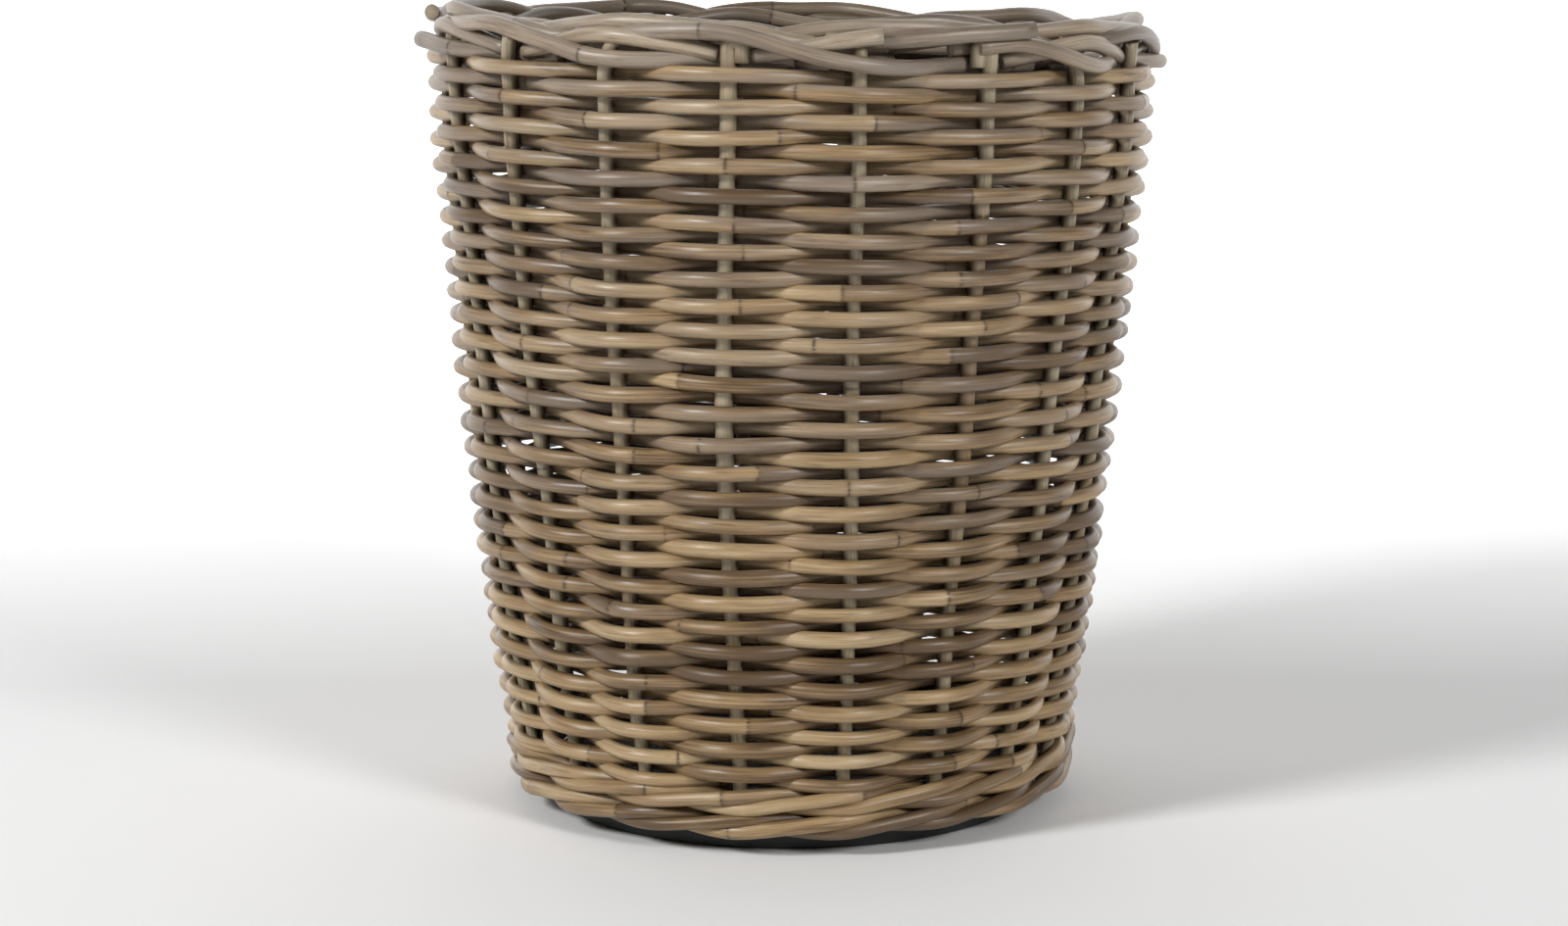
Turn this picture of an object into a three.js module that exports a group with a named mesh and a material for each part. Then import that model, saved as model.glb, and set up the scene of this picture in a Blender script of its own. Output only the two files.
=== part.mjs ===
// A round wicker log basket: a board base, upright rattan stakes, a twisted bottom wale,
// two chasing weavers that spiral up the side, and a border of short rods laid over the stake tips.
// Millimetres, +Z up. The origin is the centre of the board's underside, and the front is -Y.
import * as THREE from 'three';

// ---- driving dimensions --------------------------------------------------
const STAKE_COUNT = 18;
const STAKE_RADIUS = 4.2;
const ROD_RADIUS = 4.0;
const WALE_ROD_RADIUS = 3.8;
const FIT_GAP = 0.3;            // clearance between rods that press on each other
const RIM_STAKE_CIRCLE = 239.9; // radius of the circle of stakes at the border's level
const WALL_TAPER = 0.119;       // loss of radius per millimetre down the wall
const BOARD_RADIUS = 168;
const BOARD_THICKNESS = 20;
const BOARD_CHAMFER = 1.5;
const BOARD_SIDES = 72;
const WALE_ROUNDS = 2;
const RODS_PER_WALE_ROUND = 3;
const WALE_FOOT = 14.5;         // centre height of the lowest wale rods
const WALE_PITCH = 8.5;
const FIRST_ROW = 48.2;
const ROW_COUNT = 54;
const ROW_PITCH = 8.385;
const STAKE_FOOT = 12;
const STAKE_TIP_ABOVE_BORDER = 9;
const RIM_FALL = 0.022;         // the hand-woven rows sink towards +X, more so near the rim
const RODS_PER_STRAND = 8;
const STEP_UP_BAYS = 7;         // each round rises within these bays at the back, and is level elsewhere
const STEP_UP_START = 5;        // first of those bays
const RISE_BAYS = 3;            // one rise: the lowest round has it last in those bays, the top one first
// How far the rows, beaten down by hand, lie above an even spacing: [row, millimetres].
const ROW_DRIFT = [[0, 0], [18, -4], [25, -3.5], [32, 3], [43, 0.5], [50, 5], [ROW_COUNT, 7.5]];
// How far the wall stands outside a straight taper, and is shifted towards +X: [height, out, shift].
const WALL_SHAPE = [
  [STAKE_FOOT, 0, 0],
  [60, 0, 0],
  [115, 2, 0],
  [250, 2.3, 0],
  [340, 0, 0],
  [450, -1.8, 2.5],
  [500, -6.5, 2.8],
  [530, -7.5, 3],
];

// ---- derived dimensions --------------------------------------------------
const BORDER_LEVEL = rowHeight(ROW_COUNT); // centre height of border rods where they cross the stakes
const BAY_ANGLE = 2 * Math.PI / STAKE_COUNT;
const FIRST_STAKE_ANGLE = -Math.PI / 2 + BAY_ANGLE / 2;
const CROSSING_OFFSET = STAKE_RADIUS + ROD_RADIUS + FIT_GAP;
const LEVEL_BAYS = STAKE_COUNT - STEP_UP_BAYS;
const STEP_UP_END = STEP_UP_START + STEP_UP_BAYS;
const ROUNDS = ROW_COUNT / 2;
const WEAVER_SIDES = 5;
const STAKE_SIDES = 6;

// ---- materials -----------------------------------------------------------
const rattan = (color) => new THREE.MeshStandardMaterial({ color, roughness: 0.6, metalness: 0 });
const stakeRattan = rattan(0xa8997a);
const weaverRattan = rattan(0x99805c);
const waleRattan = rattan(0x9d8763);
const borderRattan = rattan(0x8f8069);
const boardPaint = new THREE.MeshStandardMaterial({ color: 0x1b201e, roughness: 0.7, metalness: 0 });

const basket = new THREE.Group();

function addPiece(name, geometry, material) {
  const mesh = new THREE.Mesh(geometry, material);
  mesh.name = name;
  basket.add(mesh);
}

const twoDigits = (number) => String(number).padStart(2, '0');

// ---- the wall's shape ----------------------------------------------------
// The value in a column of a table at a place, on the straight line between the table's lines.
function valueIn(table, place, column) {
  let i = 1;
  while (i < table.length - 1 && table[i][0] < place) {
    i += 1;
  }
  const share = (place - table[i - 1][0]) / (table[i][0] - table[i - 1][0]);
  return THREE.MathUtils.lerp(table[i - 1][column], table[i][column], share);
}

function rowHeight(row) {
  return FIRST_ROW + ROW_PITCH * row + valueIn(ROW_DRIFT, row, 1);
}

function stakeCircle(height) {
  return RIM_STAKE_CIRCLE - WALL_TAPER * (BORDER_LEVEL - height) + valueIn(WALL_SHAPE, height, 1);
}

// A point given by its place along the round in bays, its distance out from the stake circle
// and its height. Whole bays are stakes.
function wallPoint(bay, outward, height) {
  const angle = FIRST_STAKE_ANGLE + BAY_ANGLE * bay;
  const radius = stakeCircle(height) + outward;
  const x = radius * Math.cos(angle);
  const fall = RIM_FALL * x * height / BORDER_LEVEL;
  const shift = valueIn(WALL_SHAPE, height, 2);
  return new THREE.Vector3(x + shift, radius * Math.sin(angle), height - fall);
}

// A rod's centre line, sampled at equal steps of its own parameter, so that its corners fall
// exactly on the stakes. Its frames keep one side of the section facing out of the basket.
class RodPath extends THREE.Curve {
  constructor(pointAt) {
    super();
    this.pointAt = pointAt;
  }

  getPoint(t) {
    return this.pointAt(t);
  }

  getPointAt(t) {
    return this.pointAt(t);
  }

  computeFrenetFrames(segments) {
    const tangents = [];
    const normals = [];
    const binormals = [];
    const step = 0.03 / segments;
    for (let i = 0; i <= segments; i += 1) {
      const before = this.pointAt(Math.max(0, i / segments - step));
      const after = this.pointAt(Math.min(1, i / segments + step));
      const tangent = after.sub(before).normalize();
      const outward = this.pointAt(i / segments).setZ(0).normalize();
      const across = new THREE.Vector3().crossVectors(tangent, outward).normalize();
      tangents.push(tangent);
      normals.push(new THREE.Vector3().crossVectors(across, tangent));
      binormals.push(across);
    }
    return { tangents, normals, binormals };
  }
}

function roundSection(radius, sides) {
  const shape = new THREE.Shape();
  for (let i = 0; i < sides; i += 1) {
    const angle = 2 * Math.PI * i / sides;
    const corner = [radius * Math.cos(angle), radius * Math.sin(angle)];
    if (i === 0) {
      shape.moveTo(...corner);
    } else {
      shape.lineTo(...corner);
    }
  }
  shape.closePath();
  return shape;
}

function rodAlong(pointAt, segments, radius, sides) {
  return new THREE.ExtrudeGeometry(roundSection(radius, sides), {
    steps: segments,
    bevelEnabled: false,
    extrudePath: new RodPath(pointAt),
  });
}

// ---- base board ----------------------------------------------------------
function boardGeometry() {
  const profile = [
    new THREE.Vector2(0, 0),
    new THREE.Vector2(BOARD_RADIUS - BOARD_CHAMFER, 0),
    new THREE.Vector2(BOARD_RADIUS, BOARD_CHAMFER),
    new THREE.Vector2(BOARD_RADIUS, BOARD_THICKNESS - BOARD_CHAMFER),
    new THREE.Vector2(BOARD_RADIUS - BOARD_CHAMFER, BOARD_THICKNESS),
    new THREE.Vector2(0, BOARD_THICKNESS),
  ];
  const geometry = new THREE.LatheGeometry(profile, BOARD_SIDES);
  return geometry.rotateX(Math.PI / 2);
}

addPiece('base_board', boardGeometry(), boardPaint);

// ---- stakes --------------------------------------------------------------
// A stake has a corner at each height where the wall's shape has one.
const stakeHeights = WALL_SHAPE.slice(0, -1).map(([height]) => height);
stakeHeights.push(BORDER_LEVEL + STAKE_TIP_ABOVE_BORDER);
const stakeSegments = stakeHeights.length - 1;
const stakeCorners = stakeHeights.map((height, i) => [i / stakeSegments, height]);
for (let stake = 0; stake < STAKE_COUNT; stake += 1) {
  const pointAt = (t) => wallPoint(stake, 0, valueIn(stakeCorners, t, 1));
  const geometry = rodAlong(pointAt, stakeSegments, STAKE_RADIUS, STAKE_SIDES);
  addPiece(`stake_${twoDigits(stake + 1)}`, geometry, stakeRattan);
}

// ---- siding: two weavers chasing each other up the wall ----------------------
// Rows climbed by a weaver after this many bays: level for most of a round, then up by two rows.
// The rise moves forward from round to round, so that the wall is full at its foot and at its top.
function rowsClimbed(bays) {
  const round = Math.max(0, Math.floor(bays / STAKE_COUNT));
  if (round >= ROUNDS - 1) {
    return 2 * (ROUNDS - 1);
  }
  const forward = (STEP_UP_BAYS - RISE_BAYS) * round / (ROUNDS - 2);
  const riseEnd = STAKE_COUNT - forward;
  const rise = THREE.MathUtils.smoothstep(bays - round * STAKE_COUNT, riseEnd - RISE_BAYS, riseEnd);
  return 2 * (round + rise);
}

// One rod of a weaver, between two places counted in bays from the start of the weaving.
function weaverRod(strandRow, side, fromBay, toBay) {
  const segments = Math.round(toBay) - Math.round(fromBay);
  const first = Math.round(fromBay);
  const pointAt = (t) => {
    const exact = first + t * segments;
    const bays = THREE.MathUtils.clamp(exact, fromBay, toBay);
    const height = rowHeight(strandRow + rowsClimbed(bays));
    const outward = side * CROSSING_OFFSET * Math.cos(Math.PI * (bays + STEP_UP_END));
    return wallPoint(bays + STEP_UP_END, outward, height);
  };
  return rodAlong(pointAt, segments, ROD_RADIUS, WEAVER_SIDES);
}

// A weaver's rods meet end to end, hidden behind a stake on the inside of the wall.
const JOIN_GAP_BAYS = 0.01;
const JOIN_DRIFT = 2;
const lastBays = (ROUNDS - 1) * STAKE_COUNT + LEVEL_BAYS;
const strands = [
  { name: 'weaver_a', row: 0, side: 1, from: -1, to: lastBays },
  { name: 'weaver_b', row: 1, side: -1, from: 0, to: lastBays + 1 },
];
for (const strand of strands) {
  const joins = [strand.from];
  for (let i = 1; i < RODS_PER_STRAND; i += 1) {
    const even = 2 * Math.round((strand.to - strand.from) * i / RODS_PER_STRAND / 2);
    joins.push(strand.from + even + JOIN_DRIFT * (i % 3 - 1));
  }
  joins.push(strand.to);
  for (let i = 0; i < RODS_PER_STRAND; i += 1) {
    const from = joins[i] + JOIN_GAP_BAYS;
    const to = joins[i + 1] - JOIN_GAP_BAYS;
    const geometry = weaverRod(strand.row, strand.side, from, to);
    addPiece(`${strand.name}_${twoDigits(i + 1)}`, geometry, weaverRattan);
  }
}

// ---- rods led through a list of places -----------------------------------
// Each place is [bays from the rod's own stake, millimetres outward, millimetres up].
function rodThrough(places, stake, level, segmentsPerBay, radius) {
  const first = places[0][0];
  const last = places[places.length - 1][0];
  const pointAt = (t) => {
    const bay = THREE.MathUtils.lerp(first, last, t);
    return wallPoint(stake + bay, valueIn(places, bay, 1), level + valueIn(places, bay, 2));
  };
  const segments = Math.round((last - first) * segmentsPerBay);
  return rodAlong(pointAt, segments, radius, WEAVER_SIDES);
}

// ---- bottom wale: each rod runs low then high outside two stakes, and inside the third ----
const WALE_REPEAT = [
  [-0.5, 0, 0.3],
  [0, CROSSING_OFFSET, 0],
  [0.5, CROSSING_OFFSET, WALE_PITCH / 2],
  [1, CROSSING_OFFSET, WALE_PITCH],
  [1.5, 0, WALE_PITCH + 0.3],
  [2, -CROSSING_OFFSET, WALE_PITCH / 2],
];
for (let round = 0; round < WALE_ROUNDS; round += 1) {
  for (let rod = 0; rod < RODS_PER_WALE_ROUND; rod += 1) {
    const places = [];
    for (let bay = 0; bay < STAKE_COUNT; bay += RODS_PER_WALE_ROUND) {
      for (const [along, outward, up] of WALE_REPEAT) {
        places.push([bay + along, outward, up]);
      }
    }
    places.unshift([-1 + JOIN_GAP_BAYS, -CROSSING_OFFSET, WALE_PITCH / 2]);
    places[places.length - 1][0] -= JOIN_GAP_BAYS;
    const stake = STEP_UP_START + rod + round * RODS_PER_WALE_ROUND;
    const level = WALE_FOOT + round * 2 * WALE_PITCH;
    const name = `wale_${twoDigits(round * RODS_PER_WALE_ROUND + rod + 1)}`;
    addPiece(name, rodThrough(places, stake, level, 2, WALE_ROD_RADIUS), waleRattan);
  }
}

// ---- border --------------------------------------------------------------
// An outer border rod starts inside above one stake tip, arches over the next, comes down
// outside the third and ends inside the fourth. An inner one arches higher, further in.
const OUTER_BORDER = [
  [-1.25, -3, 13.5],
  [-1, -3, 14],
  [-0.5, 3, 16.5],
  [0, 6, 17],
  [0.5, 8, 9],
  [1, CROSSING_OFFSET, 0],
  [2, -CROSSING_OFFSET, 0],
  [2.5, -CROSSING_OFFSET, 0],
];
const INNER_BORDER = [
  [-1.25, -11.5, 8.5],
  [-1, -11.5, 9.5],
  [-0.75, -12, 14],
  [-0.5, -11.5, 19],
  [-0.25, -7.5, 23],
  [0, -3, 25],
  [0.5, -3, 24],
  [1, -3.5, 20],
  [1.25, -2.5, 17],
  [1.5, -5, 12.5],
  [1.75, -11.5, 12],
  [2, -13, 11.5],
  [2.25, -13, 11],
];
const BORDER_SEGMENTS_PER_BAY = 4;

function borderRod(places, stake) {
  return rodThrough(places, stake, BORDER_LEVEL, BORDER_SEGMENTS_PER_BAY, ROD_RADIUS);
}

for (let stake = 0; stake < STAKE_COUNT; stake += 2) {
  const number = twoDigits(stake / 2 + 1);
  const outer = borderRod(OUTER_BORDER, stake + 1);
  const inner = borderRod(INNER_BORDER, stake);
  addPiece(`border_outer_${number}`, outer, borderRattan);
  addPiece(`border_inner_${number}`, inner, borderRattan);
}

export default basket;
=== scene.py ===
"""Looks of a round wicker log basket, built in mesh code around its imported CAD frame."""
import math

import bpy
import numpy as np
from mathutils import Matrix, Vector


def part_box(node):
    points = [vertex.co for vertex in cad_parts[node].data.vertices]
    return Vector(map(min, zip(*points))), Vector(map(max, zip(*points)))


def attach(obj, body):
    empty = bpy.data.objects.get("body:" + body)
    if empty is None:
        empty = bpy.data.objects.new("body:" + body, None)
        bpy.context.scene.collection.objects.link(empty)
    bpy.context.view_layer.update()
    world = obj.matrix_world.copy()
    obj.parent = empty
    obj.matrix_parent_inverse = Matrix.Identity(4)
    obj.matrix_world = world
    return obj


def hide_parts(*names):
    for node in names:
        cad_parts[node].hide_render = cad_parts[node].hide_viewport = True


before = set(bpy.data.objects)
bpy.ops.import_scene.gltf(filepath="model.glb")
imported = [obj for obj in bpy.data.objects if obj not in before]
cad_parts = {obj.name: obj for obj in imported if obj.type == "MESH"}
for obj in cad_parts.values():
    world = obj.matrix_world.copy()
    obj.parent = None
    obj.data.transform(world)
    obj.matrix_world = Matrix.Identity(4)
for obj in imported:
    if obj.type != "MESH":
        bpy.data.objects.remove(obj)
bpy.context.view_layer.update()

# ---- driving dimensions, in metres --------------------------------------------
# The places of stakes, rows and border follow the CAD. The rods don't: these are thicker than the
# CAD's, to close light gaps in the wall, and so they run into one another where they cross.
MM = 0.001
STAKE_COUNT = 18
STAKE_RADIUS = 4.5 * MM
ROD_RADIUS = 4.6 * MM
WALE_ROD_RADIUS = 4.5 * MM
BORDER_ROD_RADIUS = 4.8 * MM
CROSSING_OFFSET = 8.7 * MM        # from a stake's centre to that of a rod passing it
RIM_STAKE_CIRCLE = 239.9 * MM     # radius of the circle of stakes at the border's level
WALL_TAPER = 0.119
FIRST_ROW = 48.2 * MM
ROW_COUNT = 54
ROW_PITCH = 8.385 * MM
WALE_FOOT = 17 * MM
WALE_PITCH = 8 * MM
STAKE_FOOT = 17 * MM
RIM_FALL = 0.022                  # the hand-woven rows sink towards +X
RODS_PER_STRAND = 8
STEP_UP_BAYS = 7                  # each round rises by two rows within these bays, at the back
STEP_UP_START = 5
RISE_BAYS = 3                     # length of one rise: the lowest round has it last in those bays
# How far the rows lie above an even spacing, and the wall outside a straight taper, in millimetres.
ROW_DRIFT = ((0, 0), (18, -4), (25, -3.5), (32, 3), (43, 0.5), (50, 5), (ROW_COUNT, 7.5))
WALL_BULGE = ((0, 0), (60, 0), (115, 2), (250, 2.3), (340, 0), (450, -1.8), (500, -6.5), (530, -7.5))
WALL_LEAN = ((330, 0), (450, 2.5), (530, 3.0))
BAY_ANGLE = 2 * math.pi / STAKE_COUNT
FIRST_STAKE_ANGLE = -math.pi / 2 + BAY_ANGLE / 2
LEVEL_BAYS = STAKE_COUNT - STEP_UP_BAYS
STEP_UP_END = STEP_UP_START + STEP_UP_BAYS
ROUNDS = ROW_COUNT // 2


def from_table(table, place):
    """Value in a table of two columns at each place, in straight lines between its entries."""
    places, values = zip(*table)
    return np.interp(place, places, values)


def row_height(row):
    return FIRST_ROW + ROW_PITCH * row + from_table(ROW_DRIFT, row) * MM


BORDER_LEVEL = row_height(ROW_COUNT)
STAKE_TIP = BORDER_LEVEL + 10 * MM

# ---- mesh fineness ------------------------------------------------------------
RINGS_PER_BAY = 12
ROD_SIDES = 14
BOARD_SIDES = 180


# ---- hand-made irregularity, always the same for the same seed ------------------
def wander(place, wavelength, seed):
    """Smooth noise of about unit size at each place along a line."""
    rng = np.random.default_rng(seed)
    total = np.zeros_like(np.asarray(place, float))
    for octave in (0.61, 1.0, 1.73, 2.9):
        phase = rng.uniform(0, 2 * math.pi)
        stretch = rng.uniform(0.85, 1.2)
        total += np.sin(2 * math.pi * octave * stretch * place / wavelength + phase) / (1 + octave)
    return total


def wall_wander(bay, height, seed, waves_round, wavelength_up):
    """Smooth noise over the wall that meets itself after a full round."""
    rng = np.random.default_rng(seed)
    total = np.zeros_like(np.asarray(bay, float))
    for waves in waves_round:
        phase_round, phase_up = rng.uniform(0, 2 * math.pi, 2)
        stretch = rng.uniform(0.8, 1.25)
        up = np.sin(2 * math.pi * height * stretch / wavelength_up + phase_up)
        total += np.sin(BAY_ANGLE * waves * bay + phase_round + 1.3 * up)
    return total / math.sqrt(len(waves_round))


SEED_STAKE_LEAN = 11
SEED_ROUNDNESS = 12
SEED_ROW_HEIGHT = 13
STAKE_SIDESTEP_BAYS = 0.035
ROUNDNESS_ERROR = 1.3 * MM
ROW_HEIGHT_ERROR = 1.1 * MM


def wall_points(bay, outward, height):
    """Points of the wall, by bays round from the first stake, distance out from the stakes, and height."""
    bay = np.asarray(bay, float)
    height = np.asarray(height, float) + 0 * bay
    body = np.clip((height - 30 * MM) / (60 * MM), 0, 1)
    sidestep = STAKE_SIDESTEP_BAYS * wall_wander(bay, height, SEED_STAKE_LEAN, (3, 5, 7, 8), 0.9) * body
    roundness = ROUNDNESS_ERROR * wall_wander(bay, height, SEED_ROUNDNESS, (2, 3, 5), 0.35) * body
    rise = ROW_HEIGHT_ERROR * wall_wander(bay, height, SEED_ROW_HEIGHT, (2, 4, 7), 0.12) * body
    angle = FIRST_STAKE_ANGLE + BAY_ANGLE * (bay + sidestep)
    bulge = from_table(WALL_BULGE, height / MM) * MM
    radius = RIM_STAKE_CIRCLE - WALL_TAPER * (BORDER_LEVEL - height) + outward + roundness + bulge
    x = radius * np.cos(angle)
    fall = RIM_FALL * x * height / BORDER_LEVEL
    lean = from_table(WALL_LEAN, height / MM) * MM
    return np.stack([x + lean, radius * np.sin(angle), height - fall + rise], axis=1)


# ---- rods as meshes ---------------------------------------------------------------
NODE_SPACING = (0.13, 0.30)       # distance between the growth rings of rattan
NODE_SWELLING = 0.05
NODE_WIDTH = 1.1 * MM
NODE_SECTIONS = np.array((-4, -1.6, -0.8, 0, 0.8, 1.6, 4)) * MM    # extra sections about a ring
CLOSEST_SECTIONS = 0.4 * MM
CUT_EDGE = 0.86
FLATTENING = 0.04                 # rods pressed on one another come out taller than deep


def unit(vectors):
    return vectors / np.linalg.norm(vectors, axis=1, keepdims=True)


WEATHERING = ((0, 0.0), (120, 0.1), (260, 0.4), (420, 0.7), (530, 0.9))   # greyer towards the rim
PAINTED_SHADE_START = 0.5                 # cosine, round a rod from its outer side, where painted shade starts on the sides that face in, up and down
# Extra thickness by height in millimetres, set by trial to close light gaps. The CAD has none.
THICKENING = (
    (0, 1),
    (60, 1.05),
    (220, 1.05),
    (255, 1.1),
    (320, 1.1),
    (345, 1.05),
    (400, 1.05),
    (530, 1.07),
)


class RodSurface:
    """One closed rod: its vertices, faces, and what the material reads at each vertex."""

    def __init__(self, centre, radius, seed, sides=ROD_SIDES):
        rng = np.random.default_rng(seed)
        steps = np.linalg.norm(np.diff(centre, axis=0), axis=1)
        along = np.concatenate([[0], np.cumsum(steps)])
        nodes, tones = self.growth_rings(along[-1], rng)
        centre, along = self.with_node_sections(centre, along, nodes)
        count = len(centre)
        nearest = np.abs(along[:, None] - nodes[None, :]).min(axis=1)
        ring = np.exp(-((nearest / NODE_WIDTH) ** 2))
        thickness = radius * rng.uniform(0.93, 1.08) * (1 + 0.035 * wander(along, 0.22, seed + 1))
        thickness = thickness * from_table(THICKENING, centre[:, 2] / MM)
        thickness = thickness * (1 + NODE_SWELLING * np.exp(-((nearest / (5 * NODE_WIDTH)) ** 2)))
        tone = tones[np.searchsorted(nodes, along)] + 0.10 * wander(along, 0.5, seed + 2)

        tangent = unit(np.gradient(centre, axis=0))
        outward = centre * np.array([1, 1, 0])
        across = unit(np.cross(tangent, outward))
        normal = np.cross(across, tangent)

        around = 2 * math.pi * np.arange(sides) / sides
        twist = 0.8 * wander(along, 0.6, seed + 3)
        oval = 1 + 0.03 * np.cos(2 * (around[None, :] + twist[:, None]))
        oval = oval - FLATTENING * np.cos(2 * around)[None, :]
        reach = thickness[:, None] * oval
        rings = (centre[:, None, :]
                 + (reach * np.cos(around))[:, :, None] * normal[:, None, :]
                 + (reach * np.sin(around))[:, :, None] * across[:, None, :])
        start_cap = centre[0] + (rings[0] - centre[0]) * CUT_EDGE - tangent[0] * 0.3 * MM
        end_cap = centre[-1] + (rings[-1] - centre[-1]) * CUT_EDGE + tangent[-1] * 0.3 * MM
        rings = np.concatenate([start_cap[None], rings, end_cap[None]])
        middles = np.stack([start_cap.mean(axis=0), end_cap.mean(axis=0)])
        self.vertices = np.concatenate([rings.reshape(-1, 3), middles])

        grain_seed = rng.uniform(0, 40)
        line = np.concatenate([[along[0]], along, [along[-1]]]) + grain_seed
        grain = np.zeros((count + 2, sides, 3))
        grain[:, :, 0] = line[:, None]
        grain[:, :, 1] = np.cos(around) * radius
        grain[:, :, 2] = np.sin(around) * radius
        self.grain = np.concatenate([grain.reshape(-1, 3), [[line[0], 0, 0], [line[-1], 0, 0]]])
        pad = np.concatenate([[0], np.arange(count), [count - 1]]).astype(int)
        look = np.zeros((count + 2, sides, 3))
        look[:, :, 0] = tone[pad][:, None]
        look[:, :, 1] = ring[pad][:, None]
        look[0, :, 2] = 0.8
        look[-1, :, 2] = 0.8
        self.look = np.concatenate([look.reshape(-1, 3), [[tone[0], 0, 1], [tone[-1], 0, 1]]])
        # Painted shade: the sides of the rod turned away from its outer side (inward, up and down, where
        # rods lie on one another) get a share that darkens them.
        painted_shade = np.clip((PAINTED_SHADE_START - np.cos(around)) / (PAINTED_SHADE_START + 0.6), 0, 1)
        self.painted_shade = np.concatenate([np.tile(painted_shade, count + 2), [0, 0]])
        self.weather = from_table(WEATHERING, self.vertices[:, 2] / MM) + rng.normal(0, 0.12)

        first = (np.arange(count + 1)[:, None] * sides + np.arange(sides)[None, :])
        second = (np.arange(count + 1)[:, None] * sides + (np.arange(sides)[None, :] + 1) % sides)
        self.quads = np.stack([first, second, second + sides, first + sides], axis=2).reshape(-1, 4)
        last_ring = (count + 1) * sides
        middle = (count + 2) * sides
        spokes = np.arange(sides)
        nexts = (spokes + 1) % sides
        start_fan = np.stack([np.full(sides, middle), nexts, spokes], axis=1)
        end_fan = np.stack([np.full(sides, middle + 1), last_ring + spokes, last_ring + nexts], axis=1)
        self.triangles = np.concatenate([start_fan, end_fan])

    @staticmethod
    def with_node_sections(centre, along, nodes):
        """The centre line with more points about each growth ring, and their distances along it."""
        extra = (nodes[:, None] + NODE_SECTIONS[None, :]).ravel()
        extra = extra[(extra > CLOSEST_SECTIONS) & (extra < along[-1] - CLOSEST_SECTIONS)]
        clear = np.array([np.abs(along - place).min() > CLOSEST_SECTIONS for place in extra], bool)
        finer = np.sort(np.concatenate([along, extra[clear]]))
        finer_centre = np.stack([np.interp(finer, along, centre[:, axis]) for axis in range(3)], axis=1)
        return finer_centre, finer

    @staticmethod
    def growth_rings(length, rng):
        """Places of the growth rings along a rod, and a tone for each stretch between them."""
        places = []
        place = rng.uniform(0, NODE_SPACING[1])
        while place < length:
            places.append(place)
            place += rng.uniform(*NODE_SPACING)
        if not places:
            places = [length + 1]
        rod_tone = rng.normal(0, 0.10)
        tones = rod_tone + rng.normal(0, 0.13, len(places) + 1)
        return np.array(places), tones


def add_piece(name, surfaces, material, node):
    """Joins rods' surfaces into one object that stands for a CAD node."""
    vertices = np.concatenate([s.vertices for s in surfaces])
    starts = np.cumsum([0] + [len(s.vertices) for s in surfaces[:-1]])
    quads = np.concatenate([s.quads + start for s, start in zip(surfaces, starts)])
    triangles = np.concatenate([s.triangles + start for s, start in zip(surfaces, starts)])
    mesh = bpy.data.meshes.new(name)
    mesh.from_pydata(vertices.tolist(), [], quads.tolist() + triangles.tolist())
    mesh.polygons.foreach_set("use_smooth", [True] * len(quads) + [False] * len(triangles))
    grain = mesh.attributes.new("grain", "FLOAT_VECTOR", "POINT")
    grain.data.foreach_set("vector", np.concatenate([s.grain for s in surfaces]).ravel())
    look = mesh.attributes.new("look", "FLOAT_VECTOR", "POINT")
    look.data.foreach_set("vector", np.concatenate([s.look for s in surfaces]).ravel())
    weather = mesh.attributes.new("weather", "FLOAT", "POINT")
    weather.data.foreach_set("value", np.concatenate([s.weather for s in surfaces]))
    # The share of painted shade at each vertex.
    painted_shade = mesh.attributes.new("painted_shade", "FLOAT", "POINT")
    painted_shade.data.foreach_set("value", np.concatenate([s.painted_shade for s in surfaces]))
    mesh.materials.append(material)
    mesh.update()
    piece = bpy.data.objects.new(name, mesh)
    bpy.context.scene.collection.objects.link(piece)
    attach(piece, "root")
    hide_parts(node)
    return piece


# ---- materials -----------------------------------------------------------------------
class Nodes:
    """Short calls for building one material's node tree."""

    def __init__(self, name):
        self.material = bpy.data.materials.new(name)
        self.material.use_nodes = True
        self.tree = self.material.node_tree
        self.shader = self.tree.nodes["Principled BSDF"]

    def add(self, kind, inputs=(), **settings):
        node = self.tree.nodes.new(kind)
        for key, value in settings.items():
            setattr(node, key, value)
        for socket, value in dict(inputs).items():
            if isinstance(value, bpy.types.NodeSocket):
                self.tree.links.new(value, node.inputs[socket])
            else:
                node.inputs[socket].default_value = value
        return node

    def link(self, output, socket):
        self.tree.links.new(output, self.shader.inputs[socket])

    def noise(self, vector, scale, detail=4.0, roughness=0.6):
        inputs = {"Vector": vector, "Scale": scale, "Detail": detail, "Roughness": roughness}
        return self.add("ShaderNodeTexNoise", inputs).outputs["Fac"]

    def stretched(self, vector, scale):
        inputs = {0: vector, 1: scale}
        return self.add("ShaderNodeVectorMath", inputs, operation="MULTIPLY").outputs[0]

    def maths(self, operation, first, second=0.0, clamp=False):
        inputs = {0: first, 1: second}
        return self.add("ShaderNodeMath", inputs, operation=operation, use_clamp=clamp).outputs[0]

    def between(self, value, low, high):
        inputs = {"Value": value, "From Min": low, "From Max": high}
        return self.add("ShaderNodeMapRange", inputs).outputs["Result"]

    def ramp(self, value, stops):
        node = self.add("ShaderNodeValToRGB", {"Fac": value})
        elements = node.color_ramp.elements
        elements[0].position = stops[0][0]
        elements[0].color = (*stops[0][1], 1)
        elements[1].position = stops[-1][0]
        elements[1].color = (*stops[-1][1], 1)
        for place, colour in stops[1:-1]:
            elements.new(place).color = (*colour, 1)
        return node.outputs["Color"]

    def mix(self, share, first, second, blend="MIX"):
        node = self.add("ShaderNodeMix", data_type="RGBA", blend_type=blend)
        for socket, value in ((0, share), (6, first), (7, second)):
            if isinstance(value, bpy.types.NodeSocket):
                self.tree.links.new(value, node.inputs[socket])
            elif socket == 0:
                node.inputs[socket].default_value = value
            else:
                node.inputs[socket].default_value = (*value, 1)
        return node.outputs[2]


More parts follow.
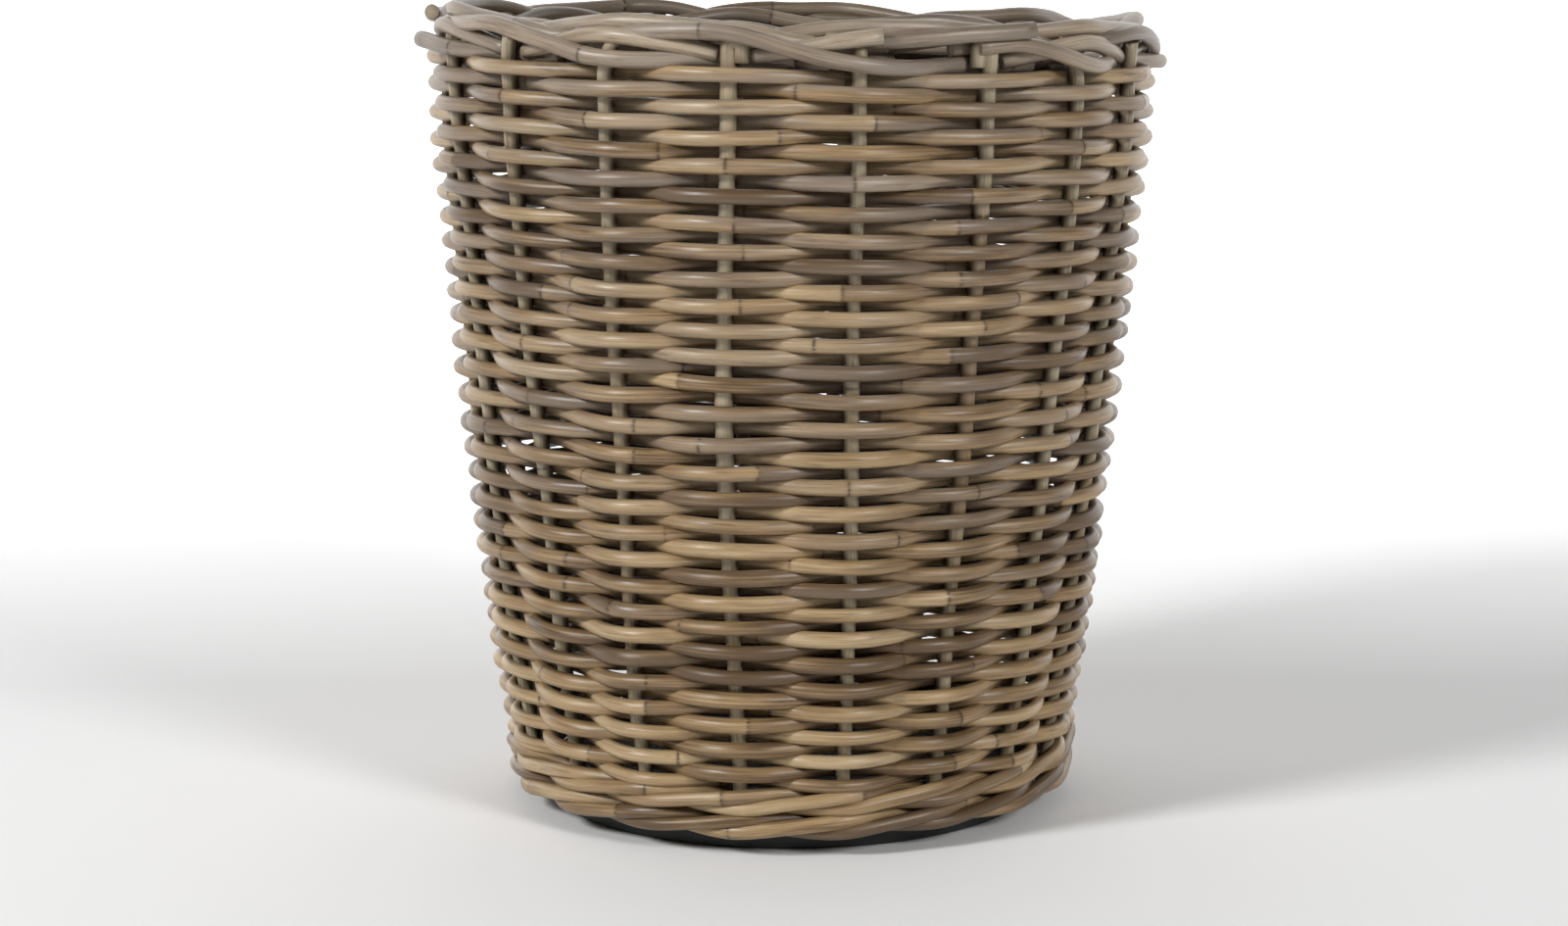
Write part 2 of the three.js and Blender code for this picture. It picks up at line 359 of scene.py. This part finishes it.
RING_COLOUR = (0.04, 0.022, 0.011)
# Near-black colour of the painted shade on the rods' sheltered sides.
PAINTED_SHADE_COLOUR = (0.03, 0.018, 0.009)
WEATHERED_COLOUR = (0.30, 0.25, 0.205)
STAIN_COLOUR = (0.085, 0.048, 0.022)
FIBRE_COLOUR = (0.12, 0.085, 0.05)


def rattan_material(name, palette, grey, painted_shade_share, gloss=0.33):
    """Unpeeled rattan: lengthwise streaks, tone by stretch of cane, dark growth rings, pale cut ends.

    Each piece carries what it reads: grain is the place within the rod, look is tone, ring and cut end,
    weather is how grey the rod is, and the last attribute is painted shade, by how far the surface turns
    from the rod's outer side.
    """
    n = Nodes(name)
    grain = n.add("ShaderNodeAttribute", attribute_name="grain").outputs["Vector"]
    look = n.add("ShaderNodeAttribute", attribute_name="look").outputs["Vector"]
    weather = n.add("ShaderNodeAttribute", attribute_name="weather").outputs["Fac"]
    parts = n.add("ShaderNodeSeparateXYZ", {0: look})
    tone, ring, cut = parts.outputs
    streaks = n.noise(n.stretched(grain, (9, 700, 700)), 1.0, 5.0, 0.65)
    fibres = n.noise(n.stretched(grain, (30, 2600, 2600)), 1.0, 3.0, 0.6)
    patches = n.noise(n.stretched(grain, (16, 130, 130)), 1.0, 3.0, 0.55)
    stains = n.noise(n.stretched(grain, (11, 160, 160)), 1.7, 4.0, 0.7)

    light = n.maths("ADD", n.maths("MULTIPLY", streaks, 1.1), n.maths("MULTIPLY", patches, 0.9))
    light = n.maths("ADD", light, tone)
    light = n.maths("ADD", light, -0.50)
    colour = n.ramp(light, palette)
    weathered = n.between(n.noise(n.stretched(grain, (5, 90, 90)), 1.0, 3.0, 0.6), 0.38, 0.62)
    weathered = n.maths("MULTIPLY", n.maths("MULTIPLY", weathered, weather), grey, True)
    colour = n.mix(weathered, colour, WEATHERED_COLOUR)
    colour = n.mix(n.maths("MULTIPLY", n.between(stains, 0.56, 0.70), 0.6), colour, STAIN_COLOUR)
    dark_fibre = n.maths("MULTIPLY", n.between(fibres, 0.50, 0.68), 0.5)
    colour = n.mix(dark_fibre, colour, FIBRE_COLOUR)
    ring_break = n.between(n.noise(n.stretched(grain, (40, 420, 420)), 1.0, 2.0, 0.5), 0.3, 0.55)
    ring_share = n.maths("MULTIPLY", n.maths("MULTIPLY", ring, ring_break), 0.9)
    colour = n.mix(ring_share, colour, RING_COLOUR)
    pith = n.noise(n.stretched(grain, (1, 2200, 2200)), 1.0, 2.0, 0.6)
    cut_colour = n.ramp(pith, [(0.35, (0.20, 0.15, 0.10)), (0.65, (0.55, 0.47, 0.36))])
    colour = n.mix(n.maths("POWER", cut, 3.0), colour, cut_colour)
    # Painted shade: the sides of each rod turned away from the outside are darkened towards near black, as
    # if in shade between rods.
    painted_shade = n.add("ShaderNodeAttribute", attribute_name="painted_shade").outputs["Fac"]
    colour = n.mix(n.maths("MULTIPLY", painted_shade, painted_shade_share), colour, PAINTED_SHADE_COLOUR)
    n.link(colour, "Base Color")

    rough = n.between(streaks, 0.3, 0.7)
    rough = n.maths("ADD", n.maths("MULTIPLY", rough, 0.18), gloss - 0.05)
    rough = n.maths("ADD", rough, n.maths("MULTIPLY", cut, 0.4), True)
    n.link(rough, "Roughness")
    n.shader.inputs["Specular IOR Level"].default_value = 0.5
    height = n.maths("ADD", n.maths("MULTIPLY", fibres, 0.5), n.maths("MULTIPLY", streaks, 0.8))
    bump = n.add("ShaderNodeBump", {"Height": height, "Strength": 0.35, "Distance": 0.4 * MM})
    n.link(bump.outputs["Normal"], "Normal")
    return n.material


BROWN = (0.115, 0.068, 0.032)
TAN = (0.265, 0.168, 0.079)
GOLD = (0.395, 0.265, 0.131)
STRAW = (0.500, 0.370, 0.210)
WEAVER_PALETTE = [(0.22, BROWN), (0.45, TAN), (0.65, GOLD), (0.9, STRAW)]
STAKE_PALETTE = [(0.1, TAN), (0.4, (0.36, 0.29, 0.185)), (0.75, (0.47, 0.40, 0.27)), (1.0, STRAW)]
BORDER_PALETTE = [(0.2, (0.14, 0.1, 0.067)), (0.5, (0.3, 0.225, 0.152)), (0.8, (0.46, 0.375, 0.27))]

# The last argument sets how strong the painted shade on the rods' sheltered sides is.
weaver_look = rattan_material("weaver_rattan", WEAVER_PALETTE, 0.8, 0.85)
wale_look = rattan_material("wale_rattan", WEAVER_PALETTE, 0.8, 0.75)
stake_look = rattan_material("stake_rattan", STAKE_PALETTE, 0.4, 0.8)
border_look = rattan_material("border_rattan", BORDER_PALETTE, 0.8, 0.4)


def board_material():
    n = Nodes("board_painted_shade")
    place = n.add("ShaderNodeTexCoord").outputs["Object"]
    grain = n.noise(n.stretched(place, (6, 60, 60)), 1.0, 5.0, 0.6)
    dust = n.noise(place, 35.0, 4.0, 0.65)
    # Near-black colour is painted shade: the board stands for the shadow under the basket's foot, below
    # the wale. Its grain and lighter dust patches are the board's own.
    colour = n.ramp(grain, [(0.3, (0.012, 0.016, 0.014)), (0.7, (0.024, 0.030, 0.027))])
    colour = n.mix(n.maths("MULTIPLY", n.between(dust, 0.55, 0.75), 0.25), colour, (0.07, 0.068, 0.06))
    n.link(colour, "Base Color")
    n.link(n.maths("ADD", n.maths("MULTIPLY", dust, 0.3), 0.4), "Roughness")
    bump = n.add("ShaderNodeBump", {"Height": grain, "Strength": 0.2, "Distance": 0.3 * MM})
    n.link(bump.outputs["Normal"], "Normal")
    return n.material


# ---- base board -------------------------------------------------------------------------
def add_board():
    low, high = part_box("base_board")
    radius = (high.x - low.x) / 2
    top = high.z
    edge = 2.0 * MM
    arc = [math.radians(a) for a in (0, 30, 60, 90)]
    profile = [(radius - edge + edge * math.sin(a), edge - edge * math.cos(a)) for a in arc]
    profile += [(radius - edge + edge * math.cos(a), top - edge + edge * math.sin(a)) for a in arc]
    vertices = []
    for distance, height in profile:
        for side in range(BOARD_SIDES):
            angle = 2 * math.pi * side / BOARD_SIDES
            vertices.append((distance * math.cos(angle), distance * math.sin(angle), height))
    faces = []
    for level in range(len(profile) - 1):
        for side in range(BOARD_SIDES):
            here = level * BOARD_SIDES + side
            beside = level * BOARD_SIDES + (side + 1) % BOARD_SIDES
            faces.append((here, beside, beside + BOARD_SIDES, here + BOARD_SIDES))
    faces.append(tuple(reversed(range(BOARD_SIDES))))
    faces.append(tuple(range((len(profile) - 1) * BOARD_SIDES, len(profile) * BOARD_SIDES)))
    mesh = bpy.data.meshes.new("look_base_board")
    mesh.from_pydata(vertices, [], faces)
    mesh.materials.append(board_material())
    smooth = [True] * (len(faces) - 2) + [False, False]
    mesh.polygons.foreach_set("use_smooth", smooth)
    board = bpy.data.objects.new("look_base_board", mesh)
    bpy.context.scene.collection.objects.link(board)
    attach(board, "root")
    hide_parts("base_board")


add_board()


# ---- stakes --------------------------------------------------------------------------------
TIP_BEND_HEIGHT = 26 * MM
BENT_TIPS = {0: 0, 2: -12, 14: 6, 15: 4, 16: 10}      # millimetres sideways
HOOKED_TIPS = {1: -1, 9: 1, 17: 1}                    # the side to which the tip is folded down
HOOK_WIDTH = 8.5 * MM


def add_stakes():
    for stake in range(STAKE_COUNT):
        rng = np.random.default_rng(200 + stake)
        tip = STAKE_TIP + rng.uniform(-2, 2) * MM
        height = np.linspace(STAKE_FOOT, tip, 110)
        wobble = 0.5 * MM * wander(height, 0.16, 300 + stake)
        bend = np.clip((height - tip + TIP_BEND_HEIGHT) / TIP_BEND_HEIGHT, 0, 1) ** 2
        bend = bend * BENT_TIPS.get(stake, rng.uniform(-6, 6)) * MM
        side = HOOKED_TIPS.get(stake, 0)
        if side:
            turn = np.linspace(0, math.pi, 14)[1:]
            fold = HOOK_WIDTH / 2
            height = np.concatenate([height - fold, tip - fold + fold * np.sin(turn), [tip - 3 * fold]])
            bend = np.concatenate([0 * bend, fold * (1 - np.cos(turn)) * side, [2 * fold * side]])
            wobble = np.concatenate([wobble, np.full(len(turn) + 1, wobble[-1])])
        centre = wall_points(stake + bend / (BAY_ANGLE * RIM_STAKE_CIRCLE), wobble, height)
        surface = RodSurface(centre, STAKE_RADIUS, 400 + stake)
        name = f"stake_{stake + 1:02d}"
        add_piece("look_" + name, [surface], stake_look, name)


add_stakes()


# ---- siding: two weavers chasing each other up the wall ---------------------------------------
def rows_climbed(bays):
    """Rows climbed after this many bays: level for most of a round, then up by two rows."""
    turn = np.floor(np.maximum(bays, 0) / STAKE_COUNT)
    forward = (STEP_UP_BAYS - RISE_BAYS) * turn / (ROUNDS - 2)
    rise_start = STAKE_COUNT - forward - RISE_BAYS
    share = np.clip((bays - turn * STAKE_COUNT - rise_start) / RISE_BAYS, 0, 1)
    climbed = 2 * (turn + share * share * (3 - 2 * share))
    return np.minimum(climbed, 2 * (ROUNDS - 1))


def weaver_rod(row, side, start, end, seed):
    bays = np.linspace(start, end, int((end - start) * RINGS_PER_BAY) + 1)
    height = row_height(row + rows_climbed(bays))
    wave = side * np.cos(math.pi * (bays + STEP_UP_END))
    play = 1 + 0.07 * wander(bays, 3.1, seed + 5)
    outward = CROSSING_OFFSET * play * wave
    loose = 0.35 + 0.65 * np.abs(wave)
    height = height + 0.4 * MM * loose * wander(bays, 3.7, seed + 6)
    centre = wall_points(bays + STEP_UP_END, outward, height)
    return RodSurface(centre, ROD_RADIUS, seed)


JOIN_DRIFT = 2                    # joins are moved by up to this many bays, so they don't line up
JOIN_GAP_BAYS = 0.01


def add_weavers():
    last = (ROUNDS - 1) * STAKE_COUNT + LEVEL_BAYS
    strands = (("weaver_a", 0, 1, -1, last), ("weaver_b", 1, -1, 0, last + 1))
    for strand, (label, row, side, start, end) in enumerate(strands):
        joins = [start]
        for i in range(1, RODS_PER_STRAND):
            even = 2 * int((end - start) * i / RODS_PER_STRAND / 2 + 0.5)
            joins.append(start + even + JOIN_DRIFT * (i % 3 - 1))
        joins.append(end)
        for i in range(RODS_PER_STRAND):
            seed = 1000 + 100 * strand + 7 * i
            surface = weaver_rod(row, side, joins[i] + JOIN_GAP_BAYS, joins[i + 1] - JOIN_GAP_BAYS, seed)
            name = f"{label}_{i + 1:02d}"
            add_piece("look_" + name, [surface], weaver_look, name)


add_weavers()


# ---- rods led through a list of places ---------------------------------------------------------
def smooth_through(places, bays):
    """Cubic curve through places given as (bay, outward, up); returns outward and up at each bay."""
    table = np.array(places, float)
    knots = table[:, 0]
    slopes = np.gradient(table[:, 1:], knots, axis=0)
    index = np.clip(np.searchsorted(knots, bays) - 1, 0, len(knots) - 2)
    width = knots[index + 1] - knots[index]
    t = ((bays - knots[index]) / width)[:, None]
    first, second = table[index, 1:], table[index + 1, 1:]
    lead, trail = slopes[index] * width[:, None], slopes[index + 1] * width[:, None]
    blend = (2 * t**3 - 3 * t**2 + 1) * first + (t**3 - 2 * t**2 + t) * lead
    blend += (-2 * t**3 + 3 * t**2) * second + (t**3 - t**2) * trail
    return blend[:, 0], blend[:, 1]


def rod_through(places, stake, level, radius, seed, play):
    """A rod through places given as (bays from its stake, millimetres outward, millimetres up)."""
    start, end = places[0][0], places[-1][0]
    bays = np.linspace(start, end, int((end - start) * RINGS_PER_BAY) + 1)
    outward, up = smooth_through(places, bays)
    outward, up = outward * MM, up * MM
    outward = outward + play * wander(bays, 2.3, seed + 5)
    up = up + play * wander(bays, 2.1, seed + 6)
    return RodSurface(wall_points(stake + bays, outward, level + up), radius, seed)


# ---- bottom wale ----------------------------------------------------------------------------------
WALE_ROUNDS = 2
RODS_PER_WALE_ROUND = 3
WALE_PLAY = 0.4 * MM
WALE_REPEAT = (                   # one rod past three stakes: bays along, millimetres outward and up
    (-0.5, 0, 0.3),
    (0, 8.7, 0),
    (0.5, 8.7, 4),
    (1, 8.7, 8),
    (1.5, 0, 8.3),
    (2, -8.7, 4),
)


def add_wale():
    for turn in range(WALE_ROUNDS):
        for rod in range(RODS_PER_WALE_ROUND):
            places = [(-1 + JOIN_GAP_BAYS, *WALE_REPEAT[-1][1:])]
            for bay in range(0, STAKE_COUNT, RODS_PER_WALE_ROUND):
                places += [(bay + along, outward, up) for along, outward, up in WALE_REPEAT]
            places[-1] = (places[-1][0] - JOIN_GAP_BAYS, *places[-1][1:])
            number = turn * RODS_PER_WALE_ROUND + rod
            stake = STEP_UP_START + rod + turn * RODS_PER_WALE_ROUND
            level = WALE_FOOT + turn * 2 * WALE_PITCH
            surface = rod_through(places, stake, level, WALE_ROD_RADIUS, 3000 + 7 * number, WALE_PLAY)
            name = f"wale_{number + 1:02d}"
            add_piece("look_" + name, [surface], wale_look, name)


add_wale()

# ---- border -----------------------------------------------------------------------------------------
# Places as for rod_through. An outer rod arches over its stake and comes down outside the next.
OUTER_BORDER = (
    (-1.25, -3, 13.5),
    (-1, -3, 14),
    (-0.5, 3, 16.5),
    (0, 6, 17.5),
    (0.5, 8, 9),
    (1, 9, 0),
    (2, -9, 0),
    (2.5, -9, 0),
)
# An inner rod arches over the stake between, higher and further in.
INNER_BORDER = (
    (-1.25, -11.5, 8.5),
    (-1, -11.5, 9.5),
    (-0.75, -12, 14),
    (-0.5, -11.5, 18),
    (-0.25, -7.5, 21),
    (0, -3, 22.5),
    (0.5, -3, 21.5),
    (1, -3.5, 19),
    (1.25, -2.5, 17),
    (1.5, -5, 12.5),
    (1.75, -11.5, 12),
    (2, -13, 11.5),
    (2.25, -13, 11),
)
# Shorter rods laid in with them fill the border: a low arch in front, and two rods along its inside.
LOW_ARCH = (
    (-0.85, -6, 2),
    (-0.5, -1, 8),
    (0, 3, 13.5),
    (0.5, 0, 9),
    (0.9, -6, 2),
)
LOW_ARCH_CUT_SHORT = (*LOW_ARCH[:2], (-0.1, 5, 14), (0.14, 8, 16))
BACKING_ARCH = (
    (-1.3, -16, 3),
    (-0.7, -17, 11),
    (0, -15, 17),
    (0.7, -17, 11),
    (1.3, -17, 3),
)
LEVEL_BACKING = (
    (-1.2, -15, -4),
    (0, -16.5, -3.5),
    (1.2, -17.5, -1.5),
)
# Ends that stand out: where a rod is spliced over a stake, and where one starts or stops off the wall.
SPLICE_OVER_STAKE = (*OUTER_BORDER[:3], (0, 9, 19.5), (0.27, 12, 22))
SPLICE_UNDER = (
    (-0.12, 5, 11),
    (0.2, 7, 13),
    *OUTER_BORDER[4:7],
    (2.4, -1, -2),
    (2.7, 9, -4),
    (2.9, 15, -5),
)
START_OFF_WALL = ((0.62, 15, 2), (0.8, 11, 1), *OUTER_BORDER[5:])
OUTER_VARIANTS = {
    1: (SPLICE_OVER_STAKE, SPLICE_UNDER),
    13: ((*OUTER_BORDER[:4], (0.35, 4, 19)), START_OFF_WALL),
}


BORDER_PLAY = 0.8 * MM


def border_rods(tables, stake, seed):
    return [rod_through(places, stake, BORDER_LEVEL, BORDER_ROD_RADIUS, seed + 1000 * number, BORDER_PLAY)
            for number, places in enumerate(tables)]


def add_border():
    for pair in range(STAKE_COUNT // 2):
        stake = 2 * pair
        outer = border_rods(OUTER_VARIANTS.get(stake + 1, (OUTER_BORDER,)), stake + 1, 5000 + 7 * pair)
        outer += border_rods((BACKING_ARCH, LEVEL_BACKING), stake + 1, 5500 + 7 * pair)
        low_arch = LOW_ARCH_CUT_SHORT if pair % 3 == 0 else LOW_ARCH
        inner = border_rods((INNER_BORDER, low_arch), stake, 6000 + 7 * pair)
        number = f"{pair + 1:02d}"
        for side, surfaces in (("outer", outer), ("inner", inner)):
            name = f"border_{side}_{number}"
            add_piece("look_" + name, surfaces, border_look, name)


add_border()


# ---- floor and backdrop: one sheet of paper, bent up at the back -----------------------------------
PAPER_HALF_WIDTH = 14.0
PAPER_FRONT = -14.0
PAPER_BACK = 2.2                  # where the bend starts
PAPER_BEND = 1.2                  # its radius
PAPER_TOP = 5.0
BEND_STEPS = 16
GLOW = (0.3, 2.2)                 # the depths between which the paper starts to glow, like a lit backdrop


def add_studio():
    profile = [(PAPER_FRONT, 0.0)]
    for step in range(BEND_STEPS + 1):
        angle = math.pi / 2 * step / BEND_STEPS
        y = PAPER_BACK + PAPER_BEND * math.sin(angle)
        profile.append((y, PAPER_BEND - PAPER_BEND * math.cos(angle)))
    profile.append((PAPER_BACK + PAPER_BEND, PAPER_TOP))
    vertices = []
    for y, z in profile:
        vertices += [(-PAPER_HALF_WIDTH, y, z), (PAPER_HALF_WIDTH, y, z)]
    faces = [(2 * i, 2 * i + 1, 2 * i + 3, 2 * i + 2) for i in range(len(profile) - 1)]
    mesh = bpy.data.meshes.new("studio")
    mesh.from_pydata(vertices, [], faces)
    mesh.polygons.foreach_set("use_smooth", [True] * len(faces))
    n = Nodes("studio_paper")
    n.shader.inputs["Base Color"].default_value = (0.9, 0.9, 0.9, 1)
    n.shader.inputs["Roughness"].default_value = 0.9
    place = n.add("ShaderNodeTexCoord").outputs["Object"]
    depth = n.add("ShaderNodeSeparateXYZ", {0: place}).outputs["Y"]
    n.link(n.between(depth, *GLOW), "Emission Strength")
    n.shader.inputs["Emission Color"].default_value = (0.95, 0.95, 0.95, 1)
    mesh.materials.append(n.material)
    studio = bpy.data.objects.new("studio", mesh)
    bpy.context.scene.collection.objects.link(studio)


add_studio()


# ---- light ------------------------------------------------------------------------------------------
def add_area_light(name, place, target, size, power):
    data = bpy.data.lights.new(name, "AREA")
    data.shape = "DISK"
    data.size = size
    data.energy = power
    light = bpy.data.objects.new(name, data)
    bpy.context.scene.collection.objects.link(light)
    point_at(light, place, target)


def point_at(thing, place, target):
    thing.location = place
    direction = np.array(target, float) - np.array(place, float)
    distance = np.linalg.norm(direction)
    pitch = math.asin(-direction[2] / distance)
    turn = math.atan2(-direction[0], direction[1])
    thing.rotation_euler = (math.pi / 2 - pitch, 0, turn)


add_area_light("key", (-2.9, -2.15, 2.4), (0, 0, 0.2), 0.9, 118)
add_area_light("front", (2.0, -2.5, 1.8), (0, 0, 0.25), 1.0, 56)

world = bpy.data.worlds.new("studio_air")
bpy.context.scene.world = world
world.use_nodes = True
world.node_tree.nodes["Background"].inputs["Color"].default_value = (1, 1, 1, 1)
world.node_tree.nodes["Background"].inputs["Strength"].default_value = 0.05
bpy.context.scene.view_settings.view_transform = "Standard"

# ---- camera -----------------------------------------------------------------------------------------
CAMERA_DISTANCE = 2.17
CAMERA_HEIGHT = 0.584
CAMERA_PITCH = math.radians(9.37)
FOCAL_SHARE = 3264 / 1600         # focal length over the picture's width
SENSOR_WIDTH = 36.0

camera_data = bpy.data.cameras.new("camera")
camera_data.sensor_width = SENSOR_WIDTH
camera_data.lens = SENSOR_WIDTH * FOCAL_SHARE
camera = bpy.data.objects.new("camera", camera_data)
bpy.context.scene.collection.objects.link(camera)
camera.location = (-0.003, -CAMERA_DISTANCE, CAMERA_HEIGHT)
camera.rotation_euler = (math.pi / 2 - CAMERA_PITCH, math.radians(0.18), 0)
bpy.context.scene.camera = camera
